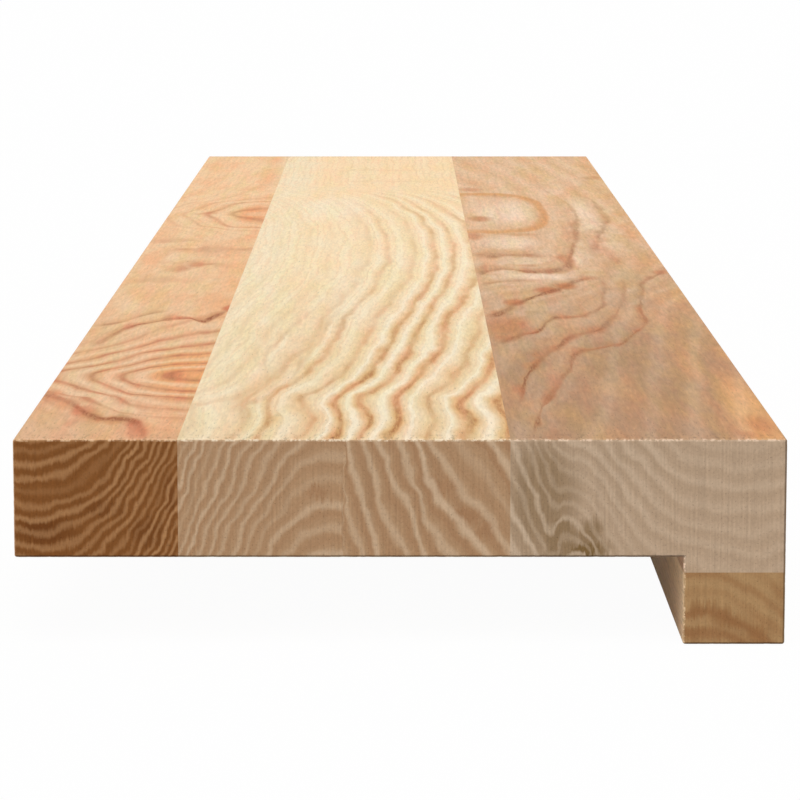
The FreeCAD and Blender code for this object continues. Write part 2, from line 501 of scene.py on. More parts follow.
def degrees(name, description, turn):
    """An angle setting, given in degrees."""
    default = math.radians(turn)
    return bpy.props.FloatProperty(name=name, description=description, default=default, subtype="ANGLE")


def amount(name, description, default, **limits):
    """A setting for a strength or a share, which is never below nothing."""
    return bpy.props.FloatProperty(name=name, description=description, default=default, min=0.0, **limits)


class SillBoardShape(bpy.types.PropertyGroup):
    """Sizes of the eased and sawn arrises."""

    arris_radius: metres("Arris radius", "Radius to which the outer arrises are eased", 0.7 * MM)
    outline_spacing: metres("Outline spacing", "Distance between points on a section's free sides", 0.6 * MM)
    chip_depth: metres("Chip depth", "How deep the saw has broken the arrises of the ends", 0.1 * MM)
    chip_size: metres("Chip size", "Usual length of a chip along a sawn arris", 1.6 * MM)
    chip_seed: bpy.props.IntProperty(name="Chip seed", description="Picks where the chips fall", default=7)


class RearStaveFinish(bpy.types.PropertyGroup):
    """Colours of the orange stave at the window."""

    near: colour("near", 226, 180, 140)
    middle: colour("middle", 240, 199, 155)
    far: colour("far", 247, 207, 162)
    tint: colour("tint", 240, 169, 115)
    glow: colour("glow", 212, 150, 104)
    blush: colour("blush", 212, 128, 90)
    line: colour("line", 148, 84, 52)
    pale: colour("pale", 245, 209, 169)
    end_ground: colour("end_ground", 129, 81, 40)
    end_dark: colour("end_dark", 104, 58, 22)
    end_line: colour("end_line", 182, 136, 92)


class MiddleStaveFinish(bpy.types.PropertyGroup):
    """Colours of the wide cream stave."""

    near: colour("near", 237, 208, 162)
    middle: colour("middle", 253, 228, 186)
    far: colour("far", 255, 222, 178)
    tint: colour("tint", 248, 229, 193)
    glow: colour("glow", 222, 170, 108)
    blush: colour("blush", 232, 168, 120)
    line: colour("line", 176, 120, 72)
    pale: colour("pale", 255, 240, 212)
    end_ground: colour("end_ground", 174, 139, 105)
    end_dark: colour("end_dark", 148, 100, 64)
    end_line: colour("end_line", 204, 176, 146)


class FrontStaveFinish(bpy.types.PropertyGroup):
    """Colours of the pinkish brown stave at the room side."""

    near: colour("near", 181, 142, 109)
    middle: colour("middle", 222, 183, 146)
    far: colour("far", 231, 192, 153)
    tint: colour("tint", 226, 170, 115)
    glow: colour("glow", 200, 148, 102)
    blush: colour("blush", 196, 124, 82)
    line: colour("line", 134, 80, 50)
    pale: colour("pale", 250, 221, 193)
    end_ground: colour("end_ground", 183, 157, 131)
    end_dark: colour("end_dark", 116, 88, 46)
    end_line: colour("end_line", 202, 178, 152)


class NoseStripFinish(bpy.types.PropertyGroup):
    """Colours of the golden brown strip under the front edge."""

    near: colour("near", 236, 202, 162)
    middle: colour("middle", 234, 200, 160)
    far: colour("far", 234, 200, 160)
    tint: colour("tint", 230, 188, 144)
    glow: colour("glow", 188, 142, 100)
    blush: colour("blush", 178, 124, 84)
    line: colour("line", 140, 98, 62)
    pale: colour("pale", 236, 204, 164)
    end_ground: colour("end_ground", 174, 139, 97)
    end_dark: colour("end_dark", 138, 92, 52)
    end_line: colour("end_line", 146, 102, 64)


class SillBoardStage(bpy.types.PropertyGroup):
    """The floor, the light and the camera."""

    camera_place: bpy.props.FloatVectorProperty(
        name="Camera place",
        description="Where the camera stands, in front of the near end",
        default=(-0.00114, -1.43104, 0.19499),
        subtype="TRANSLATION",
    )
    camera_pitch: degrees("Camera pitch", "How far the camera looks down", 7.996)
    camera_turn: degrees("Camera turn", "How far the camera turns to the left", -0.069)
    camera_lens: bpy.props.FloatProperty(
        name="Camera lens",
        description="Focal length in millimetres, on a 36 mm sensor",
        default=164.24,
        min=1.0,
    )
    ambient: amount("Ambient light", "Strength of the even light from all round", 0.5)
    sun_level: amount("Sun level", "Share of its own colour that the soft sun brings out of the top", 0.56)
    sun_tilt: degrees("Sun tilt", "How far the soft sun leans to the front", 27.0)
    sun_spread: degrees("Sun spread", "Width of the soft sun, which sets how soft its shadow is", 60.0)
    floor_size: metres("Floor size", "Length of the floor's sides", 60.0)
    floor_white: amount("Floor whiteness", "Share of plain white in the floor that is seen", 0.965, max=1.0)


class Graph:
    """A node tree being built. Most methods add a node and give back the socket that leaves it."""

    def __init__(self, tree):
        self.tree = tree

    def node(self, kind, **settings):
        node = self.tree.nodes.new(kind)
        for name, value in settings.items():
            setattr(node, name, value)
        return node

    def feed(self, socket, value):
        if isinstance(value, bpy.types.NodeSocket):
            self.tree.links.new(value, socket)
        else:
            socket.default_value = value

    def fed(self, node, **values):
        """The outputs of a node, with its inputs fed by their names, written with _ for a space."""
        for label, value in values.items():
            self.feed(node.inputs[label.replace("_", " ")], value)
        return node.outputs

    def math(self, operation, *values):
        node = self.node("ShaderNodeMath", operation=operation)
        for socket, value in zip(node.inputs, values):
            self.feed(socket, value)
        return node.outputs[0]

    def product(self, value, *factors):
        for factor in factors:
            value = self.math("MULTIPLY", value, factor)
        return value

    def greatest(self, strengths):
        """The greatest of several strengths, or none at all."""
        total = 0.0
        for strength in strengths:
            total = self.math("MAXIMUM", total, strength)
        return total

    def vector(self, operation, *values):
        node = self.node("ShaderNodeVectorMath", operation=operation)
        for socket, value in zip(node.inputs, values):
            self.feed(socket, value)
        return node.outputs["Value" if operation == "LENGTH" else "Vector"]

    def axes(self, vector):
        return list(self.fed(self.node("ShaderNodeSeparateXYZ"), Vector=vector))

    def fade(self, value, low, high, start=0.0, end=1.0, kind="SMOOTHSTEP"):
        """start below low, end above high, and an even change between them."""
        node = self.node("ShaderNodeMapRange", interpolation_type=kind, clamp=True)
        for socket, number in zip(node.inputs, (value, low, high, start, end)):
            self.feed(socket, number)
        return node.outputs[0]

    def blend(self, factor, first, second, way="MIX"):
        """A mix of two colours."""
        node = self.node("ShaderNodeMix", data_type="RGBA", blend_type=way)
        self.feed(node.inputs[0], factor)
        self.feed(node.inputs[6], first)
        self.feed(node.inputs[7], second)
        return node.outputs[2]

    def shaded(self, shade, value, low, high, start, end, kind="LINEAR"):
        """A colour made darker or lighter by a value, from start at low to end at high."""
        return self.blend(1.0, shade, self.fade(value, low, high, start, end, kind), way="MULTIPLY")

    def noise(self, place, sizes, detail=2.0, roughness=0.5):
        """Noise with the given sizes on each axis: Fac is one chance, Color three."""
        counts = [1.0 / size for size in sizes]
        counted = self.fed(self.node("ShaderNodeMapping"), Vector=place, Scale=counts)[0]
        node = self.node("ShaderNodeTexNoise")
        return self.fed(node, Vector=counted, Scale=1.0, Detail=detail, Roughness=roughness)

    def stray(self, place, sizes, shift):
        """A shift that differs from place to place, half of it to each side."""
        chance = self.vector("SUBTRACT", self.noise(place, sizes)["Color"], (0.5, 0.5, 0.5))
        return self.vector("MULTIPLY", chance, shift)

    def attribute(self, name):
        return self.node("ShaderNodeAttribute", attribute_name=name).outputs["Fac"]

    def curve(self, value, points):
        """A smooth curve through given points, level beyond its ends."""
        places, heights = zip(*points)
        first, last = places[0], places[-1]
        low, high = min(heights), max(heights)
        if low == high:
            return low
        node = self.node("ShaderNodeFloatCurve")
        line = node.mapping.curves[0]
        while len(line.points) < len(points):
            line.points.new(0.5, 0.5)
        for point, place, height in zip(line.points, places, heights):
            point.location = ((place - first) / (last - first), (height - low) / (high - low))
            point.handle_type = "AUTO_CLAMPED"
        node.mapping.update()
        share = self.fed(node, Value=self.fade(value, first, last, kind="LINEAR"))[0]
        return self.math("MULTIPLY_ADD", share, high - low, low)


def empty_graph(block):
    """A graph in the emptied node tree of a material or a world."""
    block.use_nodes = True
    block.node_tree.nodes.clear()
    return Graph(block.node_tree)


def add_object(name, data):
    """A new object in the scene."""
    thing = bpy.data.objects.new(name, data)
    bpy.context.scene.collection.objects.link(thing)
    return thing


def new_group(name, tree, inputs, outputs):
    """A graph in a new node group with named sockets, and the sockets that bring and take its values."""
    group = bpy.data.node_groups.new(name, tree)
    for label, kind, default in inputs:
        socket = group.interface.new_socket(label, in_out="INPUT", socket_type="NodeSocket" + kind)
        if default is not None:
            socket.default_value = default
    for label, kind in outputs:
        group.interface.new_socket(label, in_out="OUTPUT", socket_type="NodeSocket" + kind)
    return Graph(group), group.nodes.new("NodeGroupInput").outputs, group.nodes.new("NodeGroupOutput").inputs


def shared_group(name, build):
    """The node group of that name, built the first time it is asked for."""
    return bpy.data.node_groups.get(name) or build(name)


def place_group(graph, name, build, **given):
    """A shared group, placed in a material with its own values. Gives back its outputs."""
    return graph.fed(graph.node("ShaderNodeGroup", node_tree=shared_group(name, build)), **given)


def two_sided(graph, offset, front, back):
    """1 on a line, fading out over one width in front of it and another behind it."""
    ahead = graph.math("DIVIDE", offset, front)
    behind = graph.math("DIVIDE", graph.math("MULTIPLY", offset, -1.0), back)
    return graph.fade(graph.math("MAXIMUM", ahead, behind), 0.1, 1.0, 1.0, 0.0)


def to_sawn_end(graph, place):
    """Millimetres to the nearer sawn end."""
    along = graph.axes(place)[1]
    return graph.math("MINIMUM", along, graph.math("SUBTRACT", BOARD_LENGTH, along))


def build_growth_lines(name):
    """Dark lines where the ring count passes a whole number, the glow beside them and the pale bands."""
    graph, given, result = new_group(
        name,
        "ShaderNodeTree",
        [
            ("Rings", "Float", 0.0),
            ("Core", "Float", 0.1),
            ("Front glow", "Float", 0.2),
            ("Back glow", "Float", 0.3),
        ],
        [("Line", "Float"), ("Glow", "Float"), ("Pale", "Float"), ("Ring", "Float")],
    )
    ring = graph.math("ROUND", given["Rings"])
    past = graph.math("SUBTRACT", given["Rings"], ring)
    away = graph.math("ABSOLUTE", past)
    graph.feed(result["Line"], graph.fade(graph.math("DIVIDE", away, given["Core"]), 0.2, 1.0, 1.0, 0.0))
    graph.feed(result["Glow"], two_sided(graph, past, given["Front glow"], given["Back glow"]))
    graph.feed(result["Pale"], graph.fade(away, 0.2, 0.45))
    graph.feed(result["Ring"], ring)
    return graph.tree


def growth_lines(graph, rings, **reach):
    """The growth lines of a ring count, with how far they reach."""
    return place_group(graph, "Growth lines", build_growth_lines, Rings=rings, **reach)


def build_fibre(name):
    """Streaks, fine grain and pores of the wood, along the board or on a sawn end."""
    graph, given, result = new_group(
        name,
        "ShaderNodeTree",
        [("Place", "Vector", None), ("End grain", "Float", 0.0)],
        [("Streak", "Float"), ("Grain", "Float"), ("Pore", "Float")],
    )
    place = given["Place"]
    end = given["End grain"]
    broad = graph.noise(place, BROAD_STREAK, detail=3.0, roughness=0.6)["Fac"]
    speckle = graph.noise(place, SPECKLE, detail=3.0, roughness=0.6)["Fac"]
    streak = graph.math("MULTIPLY_ADD", speckle, 0.6, graph.math("MULTIPLY", broad, 0.4))
    graph.feed(result["Streak"], streak)
    graph.feed(result["Grain"], graph.noise(place, FINE_GRAIN, roughness=0.6)["Fac"])
    torn = graph.fade(to_sawn_end(graph, place), 0.0, TORN_REACH, TORN_PORES, 0.0)
    long_pore = graph.noise(place, LONG_PORE, detail=1.0)["Fac"]
    long_pore = graph.fade(graph.math("ADD", long_pore, torn), *LONG_PORE_RANGE)
    end_pore = graph.fade(graph.noise(place, END_PORE, detail=1.0)["Fac"], *END_PORE_RANGE)
    pore = graph.math("ADD", graph.math("MULTIPLY", end_pore, end), long_pore)
    graph.feed(result["Pore"], graph.math("SUBTRACT", pore, graph.math("MULTIPLY", long_pore, end)))
    return graph.tree


def build_tone_patches(name):
    """Rosy and olive patches in the wood, as a colour to multiply by, and how rosy each place is."""
    graph, given, result = new_group(
        name,
        "ShaderNodeTree",
        [("Place", "Vector", None), ("Amount", "Float", 1.0)],
        [("Tone", "Color"), ("Rosy", "Float")],
    )
    chances = graph.axes(graph.noise(given["Place"], TONE_PATCH, detail=4.0, roughness=0.65)["Color"])
    rosy = graph.fade(chances[0], *TONE_PATCH_RANGE, 0.0, given["Amount"])
    olive = graph.fade(chances[1], *TONE_PATCH_RANGE, 0.0, given["Amount"])
    tone = graph.blend(rosy, PLAIN_TONE, ROSY_TONE)
    graph.feed(result["Tone"], graph.blend(olive, tone, OLIVE_TONE))
    graph.feed(result["Rosy"], graph.fade(chances[2], *BLUSH_RANGE))
    return graph.tree


def build_saw_marks(name):
    """Upright scratches that the saw leaves on an end."""
    graph, given, result = new_group(
        name,
        "ShaderNodeTree",
        [("Place", "Vector", None)],
        [("Mark", "Float")],
    )
    marks = graph.noise(given["Place"], SAW_MARK)["Fac"]
    graph.feed(result["Mark"], graph.fade(marks, *SAW_MARK_RANGE, kind="LINEAR"))
    return graph.tree


def build_broken_arris_and_highlight(name):
    """Pale torn fibres and painted highlight, in specks and a faint line along a sawn arris, and dark pits
    torn out of the faces beside it.
    """
    graph, given, result = new_group(
        name,
        "ShaderNodeTree",
        [("Place", "Vector", None), ("Arris", "Float", 0.0)],
        [("Speck and highlight", "Float"), ("Pit", "Float")],
    )
    specks = graph.noise(given["Place"], SPECK, roughness=0.7)["Fac"]
    # The faintest share is a pale line of painted highlight along the whole arris; the specks of torn fibre
    # rise from it
    picked = graph.fade(specks, *SPECK_RANGE, LEAST_SPECK_AND_HIGHLIGHT, 1.0)
    graph.feed(result["Speck and highlight"], graph.math("MULTIPLY", picked, given["Arris"]))
    pits = graph.noise(given["Place"], PIT, detail=1.0)["Fac"]
    beside = graph.fade(to_sawn_end(graph, given["Place"]), 0.0, PIT_REACH, 1.0, 0.0)
    graph.feed(result["Pit"], graph.math("MULTIPLY", graph.fade(pits, *PIT_RANGE), beside))
    return graph.tree


def stave_place(graph, low, high):
    """Millimetres across from the piece's rear side, along from the near end and down from its top."""
    return graph.fed(
        graph.node("ShaderNodeMapping"),
        Vector=graph.node("ShaderNodeTexCoord").outputs["Object"],
        Scale=(IN_MM, IN_MM, -IN_MM),
        Location=(-low.x * IN_MM, -low.y * IN_MM, high.z * IN_MM),
    )[0]


def bent_place(graph, place, wander, tremble):
    """The place in the wood, shifted a little and unevenly, so that lines wander and tremble like grain."""
    slow = graph.stray(place, SLOW_BEND, [wander * shift for shift in SLOW_SHIFT])
    quick = graph.stray(place, QUICK_BEND, [tremble * shift for shift in QUICK_SHIFT])
    return graph.vector("ADD", place, graph.vector("ADD", slow, quick))


def drawn_line(graph, along, across, thickness, points, half_width, first_dark, last_dark, paleness):
    """Core, glow and pale band of one growth line through given points. It fades out at its ends."""
    (first_along, first_across), (last_along, last_across) = points[0], points[-1]
    rising = (last_along - first_along) * (last_across - first_across) > 0
    slope = (1.0 if rising else -1.0) / PLAN_SHORTENING
    shift = graph.math("MULTIPLY", along, slope)
    run = graph.math("ADD", across, shift)
    side = graph.math("SUBTRACT", across, shift)
    course = [(u + v * slope, u - v * slope) for v, u in points]
    offset = graph.math("DIVIDE", graph.math("SUBTRACT", side, graph.curve(run, course)), thickness)
    first, last = course[0][0], course[-1][0]
    present = graph.product(
        graph.fade(run, first, last, first_dark, last_dark),
        graph.fade(run, first + FADE_IN[0], first + FADE_IN[1]),
        graph.fade(run, last + FADE_OUT[0], last + FADE_OUT[1], 1.0, 0.0),
    )
    parts = (DRAWN_CORE, DRAWN_GLOW, DRAWN_PALE_START, DRAWN_PALE_STOP)
    dark, warm, start, stop = [[width * half_width for width in part] for part in parts]
    core = graph.fade(graph.math("ABSOLUTE", offset), *dark, 1.0, 0.0)
    glow = two_sided(graph, offset, *warm)
    pale = graph.product(graph.fade(offset, *start, 0.0, paleness), graph.fade(offset, *stop, 1.0, 0.0))
    return [graph.product(part, present) for part in (core, glow, pale)]


def soft_mark(graph, place, centre, half_sizes, strength):
    """A soft spot round a place in the wood."""
    offset = graph.vector("DIVIDE", graph.vector("SUBTRACT", place, centre), half_sizes)
    return graph.fade(graph.vector("LENGTH", offset), 0.25, 1.0, strength, 0.0)


def face_marks(graph, place, marks):
    """The soft spots of one kind on the long faces."""
    spots = []
    for v, u, half_length, half_width, strength in marks:
        spots.append(soft_mark(graph, place, (u, v, 0.0), (half_width, half_length, MARK_DEPTH), strength))
    return graph.greatest(spots)


def oval_ring(graph, place, oval):
    """The border of a squarish oval round a bump in the grain."""
    along, across, half_length, half_width = oval
    offset = graph.vector("SUBTRACT", place, (across, along, 0.0))
    offset = graph.vector("DIVIDE", offset, (half_width, half_length, half_width))
    squarish = graph.math("SQRT", graph.vector("LENGTH", graph.vector("MULTIPLY", offset, offset)))
    reach = graph.math("ADD", graph.vector("LENGTH", offset), squarish)
    return two_sided(graph, graph.math("SUBTRACT", reach, 2.0), 0.2, 0.4)


def face_figure(graph, figure, place, bent):
    """Strengths of the dark lines, of the glow beside them and of the pale bands on the long faces."""
    across, along, deep = graph.axes(bent)
    leaning = graph.math("MULTIPLY_ADD", deep, LEAN_PER_MM, across)
    sideways = graph.math("SUBTRACT", leaning, graph.curve(along, figure["drift"]))
    rings = graph.math("ADD", graph.curve(along, figure["along"]), graph.curve(sideways, figure["across"]))
    rings = graph.math("MULTIPLY_ADD", deep, RINGS_PER_MM_DEEP, rings)
    front_glow, back_glow = figure["line_glow"]
    growth = growth_lines(
        graph, rings, Core=figure["line_core"], Front_glow=front_glow, Back_glow=back_glow
    )
    fine = growth_lines(graph, graph.math("MULTIPLY", rings, FINE_PER_RING))
    bold = graph.product(
        graph.curve(growth["Ring"], figure["ring_bold"]),
        graph.curve(along, figure["along_bold"]),
    )
    lines = [graph.product(growth["Line"], bold, graph.curve(along, figure["core_along"]))]
    glows = [graph.product(growth["Glow"], bold), graph.product(fine["Glow"], figure["fine"])]
    pales = [graph.product(growth["Pale"], bold, PALE_BAND)]
    thickness = graph.fade(graph.noise(place, THICK_PART)["Fac"], *THICK_PART_RANGE, *THICKNESS)
    for drawn in figure["drawn"]:
        core, glow, pale = drawn_line(graph, along, leaning, thickness, *drawn)
        lines.append(core)
        glows.append(glow)
        pales.append(pale)
    if figure["oval"]:
        glows.append(graph.product(oval_ring(graph, bent, figure["oval"]), OVAL_GLOW))
    glows.append(face_marks(graph, bent, figure["marks"]))
    pales.append(face_marks(graph, bent, figure["pale_marks"]))
    uneven = graph.fade(graph.noise(place, DARK_PART)["Fac"], *DARK_PART_RANGE, *DARKNESS)
    line = graph.product(graph.greatest(lines), uneven)
    glow = graph.product(graph.greatest(glows), graph.fade(uneven, *DARKNESS, *WARMTH))
    return line, glow, graph.greatest(pales)


def end_figure(graph, figure, place):
    """Strengths of the light lines on the sawn ends, and of the dark lines beside them and the stains."""
    slow = graph.stray(place, END_SLOW_BEND, END_SLOW_SHIFT)
    quick = graph.stray(place, END_QUICK_BEND, END_QUICK_SHIFT)
    ragged = graph.stray(place, END_TEAR, END_TEAR_SHIFT)
    bent = graph.vector("ADD", graph.vector("ADD", place, slow), graph.vector("ADD", quick, ragged))
    across, deep = graph.axes(bent)[0::2]
    deeper = graph.math("MULTIPLY", deep, graph.curve(across, figure["end_per_mm"]))
    rings = graph.math("ADD", graph.curve(across, figure["end_across"]), deeper)
    reach = {"Front_glow": figure["end_fade"], "Back_glow": figure["end_fade"]}
    growth = growth_lines(graph, rings, **reach)
    beside = growth_lines(graph, graph.math("SUBTRACT", rings, END_SHADOW), **reach)
    chance = graph.fed(graph.node("ShaderNodeTexWhiteNoise", noise_dimensions="1D"), W=growth["Ring"])
    uneven = graph.fade(chance["Value"], 0.0, 1.0, *END_BOLDNESS, kind="LINEAR")
    bold = graph.math("MULTIPLY", uneven, graph.curve(across, figure["end_bold"]))
    stains = [graph.product(beside["Glow"], bold, figure["end_shadow"])]
    smeared = graph.vector("ADD", bent, graph.vector("MULTIPLY", ragged, STAIN_SMEAR))
    smeared = graph.vector("MULTIPLY", smeared, (1.0, 0.0, 1.0))
    for u, w, half_width, half_height, strength in figure["end_marks"]:
        stains.append(soft_mark(graph, smeared, (u, 0.0, w), (half_width, 1.0, half_height), strength))
    return graph.product(growth["Glow"], bold), graph.greatest(stains)


def face_tone(graph, figure, finish, place, bent):
    """Ground colour of the long faces, from the near end to the far end and towards one side."""
    across, along = graph.axes(place)[:2]
    slanted = graph.math("MULTIPLY_ADD", across, -figure["tone_slant"], along)
    base = graph.node("ShaderNodeValToRGB")
    ramp = base.color_ramp
    ramp.elements.new(0.5)
    shades = (finish.near, finish.middle, finish.far)
    for element, position, shade in zip(ramp.elements, figure["tone_places"], shades):
        element.position = position
        element.color = linear(shade)
    ground = graph.fed(base, Fac=graph.math("DIVIDE", slanted, BOARD_LENGTH))[0]
    patchy = graph.fade(graph.noise(place, TINT_PATCH)["Fac"], *TINT_PATCH_RANGE, *PATCHY_TINT)
    edge = graph.math("ADD", graph.curve(across, figure["tint_across"]), patchy)
    tint = graph.math("MAXIMUM", edge, face_marks(graph, place, figure["tint_marks"]))
    if figure["oval"]:
        tint = graph.math("MAXIMUM", tint, oval_ring(graph, bent, figure["oval"]))
    return graph.blend(tint, ground, linear(finish.tint))


def face_wood(graph, figure, finish, place, fibre):
    """Colour of the long faces, and the strength of their dark lines."""
    bent = bent_place(graph, place, figure["wander"], figure["tremble"])
    line, glow, pale = face_figure(graph, figure, place, bent)
    line = graph.math("MULTIPLY", line, graph.fade(fibre["Grain"], *BROKEN_LINE_RANGE, *BROKEN_LINE))
    patches = place_group(graph, "Tone patches", build_tone_patches, Place=place, Amount=figure["patches"])
    blush = linear(finish.blush)
    warm = graph.blend(patches["Rosy"], linear(finish.glow), blush)
    dark = graph.blend(graph.product(patches["Rosy"], BLUSH_IN_LINES), linear(finish.line), blush)
    face = face_tone(graph, figure, finish, place, bent)
    face = graph.blend(pale, face, linear(finish.pale))
    face = graph.blend(graph.product(glow, GLOW_STRENGTH), face, warm)
    if figure["stains"]:
        face = graph.blend(face_marks(graph, bent, figure["stains"]), face, blush)
    face = graph.blend(line, face, dark)
    face = graph.blend(1.0, face, patches["Tone"], way="MULTIPLY")
    streaks = figure["streaks"]
    return graph.shaded(face, fibre["Streak"], *STREAK_RANGE, 1.0 - streaks, 1.0 + streaks), line


def sawn_wood(graph, figure, finish, place, mark):
    """Colour of the sawn ends."""
    light, stain = end_figure(graph, figure, place)
    sawn = graph.blend(stain, linear(finish.end_ground), linear(finish.end_dark))
    sawn = graph.blend(light, sawn, linear(finish.end_line))
    return graph.shaded(sawn, mark, 0.0, 1.0, *SAW_MARK_LIGHT)


def wood_material(name, piece, finish):
    """Sanded wood with the growth lines of one piece on its long faces and on its sawn ends."""
    figure = FIGURES[piece]
    material = bpy.data.materials.new(name)
    graph = empty_graph(material)
    place = stave_place(graph, *BOXES[piece])
    end = graph.fade(graph.attribute("end_grain"), 0.45, 0.9)
    fibre = place_group(graph, "Wood fibre", build_fibre, Place=place, End_grain=end)
    mark = place_group(graph, "Saw marks", build_saw_marks, Place=place)["Mark"]
    worn = graph.attribute("worn")
    broken = place_group(graph, "Broken arris and highlight", build_broken_arris_and_highlight, Place=place, Arris=worn)

    face, line = face_wood(graph, figure, finish, place, fibre)
    face = graph.shaded(face, broken["Pit"], 0.0, 1.0, 1.0, PIT_LIGHT)
    wood = graph.blend(end, face, sawn_wood(graph, figure, finish, place, mark))
    wood = graph.shaded(wood, fibre["Grain"], *GRAIN_RANGE, *GRAIN_LIGHT)
    wood = graph.shaded(wood, fibre["Pore"], 0.0, 1.0, 1.0, PORE_LIGHT)
    # Pale torn fibre and painted highlight on the upper and rear arrises of the ends, in the early wood's
    # colour
    wood = graph.blend(graph.product(broken["Speck and highlight"], SPECK_AND_HIGHLIGHT_STRENGTH), wood, linear(finish.pale))
    # Painted shade, darker along the lower and room-side rims of the sawn ends
    wood = graph.shaded(wood, graph.attribute("soiled"), 0.0, 1.0, 1.0, PAINTED_EDGE_SHADE_LIGHT, kind="SMOOTHSTEP")

    height = graph.math("MULTIPLY_ADD", line, LINE_RELIEF, graph.product(fibre["Streak"], STREAK_RELIEF))
    height = graph.math("SUBTRACT", height, graph.product(fibre["Pore"], PORE_RELIEF))
    height = graph.math("MULTIPLY_ADD", graph.product(mark, end), SAW_MARK_RELIEF, height)
    bump = graph.node("ShaderNodeBump")
    relief = graph.fed(bump, Strength=RELIEF_STRENGTH, Distance=RELIEF_DEPTH, Height=height)[0]
    roughness = graph.math("MULTIPLY_ADD", fibre["Streak"], STREAK_ROUGHNESS, ROUGHNESS)
    roughness = graph.math("MULTIPLY_ADD", end, END_ROUGHNESS, roughness)
    shader = graph.fed(
        graph.node("ShaderNodeBsdfPrincipled"),
        Base_Color=wood,
        Roughness=roughness,
        Specular_IOR_Level=SPECULAR,
        Normal=relief,
    )[0]
    graph.fed(graph.node("ShaderNodeOutputMaterial"), Surface=shader)
    return material


def build_stave_tree(name):
    """Runs a section along a rail of stations, draws it in at the ends and breaks the sawn arrises."""
    graph, given, result = new_group(
        name,
        "GeometryNodeTree",
        [
            ("Rail", "Geometry", None),
            ("Section", "Object", None),
            ("Chip depth", "Float", 0.0),
            ("Chip size", "Float", 1.0),
            ("Seed", "Int", 0),
            ("Rear fibre and highlight", "Float", 0.0),
            ("Weld", "Float", 0.0),
            ("Wood", "Material", None),
        ],
        [("Stave", "Geometry")],
    )

    def made(kind, **inputs):
        return graph.fed(graph.node("GeometryNode" + kind), **inputs)[0]

    def stored(label, data_type):
        node = graph.node("GeometryNodeInputNamedAttribute", data_type=data_type)
        return graph.fed(node, Name=label)["Attribute"]

    def store(geometry, label, domain, value):
        node = graph.node("GeometryNodeStoreNamedAttribute", data_type="FLOAT", domain=domain)
        return graph.fed(node, Geometry=geometry, Name=label, Value=value)[0]

    rail = made("MeshToCurve", Mesh=given["Rail"])
    outline = graph.fed(graph.node("GeometryNodeObjectInfo"), Object=given["Section"])["Geometry"]
    section = made("MeshToCurve", Mesh=outline)
    stave = made("CurveToMesh", Curve=rail, Profile_Curve=section, Fill_Caps=True)

    corner = graph.vector("ADD", stored("outline", "FLOAT_VECTOR"), stored("station", "FLOAT_VECTOR"))
    inward = stored("inward", "FLOAT_VECTOR")
    arris = stored("arris", "FLOAT")
    chips = graph.node("ShaderNodeTexNoise", noise_dimensions="4D")
    chips_per_metre = graph.math("DIVIDE", 1.0, given["Chip size"])
    chance = graph.fed(chips, Vector=corner, W=given["Seed"], Scale=chips_per_metre)["Fac"]
    chip = graph.product(graph.fade(chance, *CHIP_RANGE), given["Chip depth"], arris)
    inset = graph.math("ADD", stored("draw_in", "FLOAT"), chip)
    position = graph.vector("ADD", corner, graph.vector("MULTIPLY", inward, inset))
    stave = made("SetPosition", Geometry=stave, Position=position)
    stave = made("MergeByDistance", Geometry=stave, Distance=given["Weld"])

    normal = graph.axes(graph.node("GeometryNodeInputNormal").outputs["True Normal"])
    stave = store(stave, "end_grain", "FACE", graph.math("ABSOLUTE", normal[1]))
    forward, up = graph.axes(inward)[0::2]
    # Pale torn fibre and painted highlight on the upper arrises of the ends, and on their rear arrises as
    # strongly as the rear setting says
    rear_fibre_and_highlight = graph.math("MULTIPLY", forward, given["Rear fibre and highlight"])
    outer = graph.math("MAXIMUM", rear_fibre_and_highlight, graph.math("MULTIPLY", up, -1.0))
    stave = store(stave, "worn", "POINT", graph.math("MULTIPLY", arris, outer))
    # Painted shade on the arrises of the ends that face down or to the room side
    lower = graph.math("MAXIMUM", up, graph.math("MULTIPLY", forward, -1.0))
    stave = store(stave, "soiled", "POINT", graph.math("MULTIPLY", arris, lower))
    stave = made("RealizeInstances", Geometry=stave)
    graph.feed(result["Stave"], made("SetMaterial", Geometry=stave, Material=given["Wood"]))
    return graph.tree


def wire_object(name, places, closed, **attributes):
    """A line of points with named values on them, for the Geometry Nodes tree to read."""
    count = len(places)
    edges = [(i, (i + 1) % count) for i in range(count if closed else count - 1)]
    mesh = bpy.data.meshes.new(name)
    mesh.from_pydata(places, edges, [])
    for label, values in attributes.items():
        if isinstance(values[0], float):
            mesh.attributes.new(label, "FLOAT", "POINT").data.foreach_set("value", values)
        else:
            flat = [number for vector in values for number in vector]
            mesh.attributes.new(label, "FLOAT_VECTOR", "POINT").data.foreach_set("vector", flat)
    return add_object(name, mesh)


def rounding_angles():
    """The angles at which a quarter round is divided."""
    return [math.radians(90.0) * step / ROUNDING_STEPS for step in range(ROUNDING_STEPS + 1)]


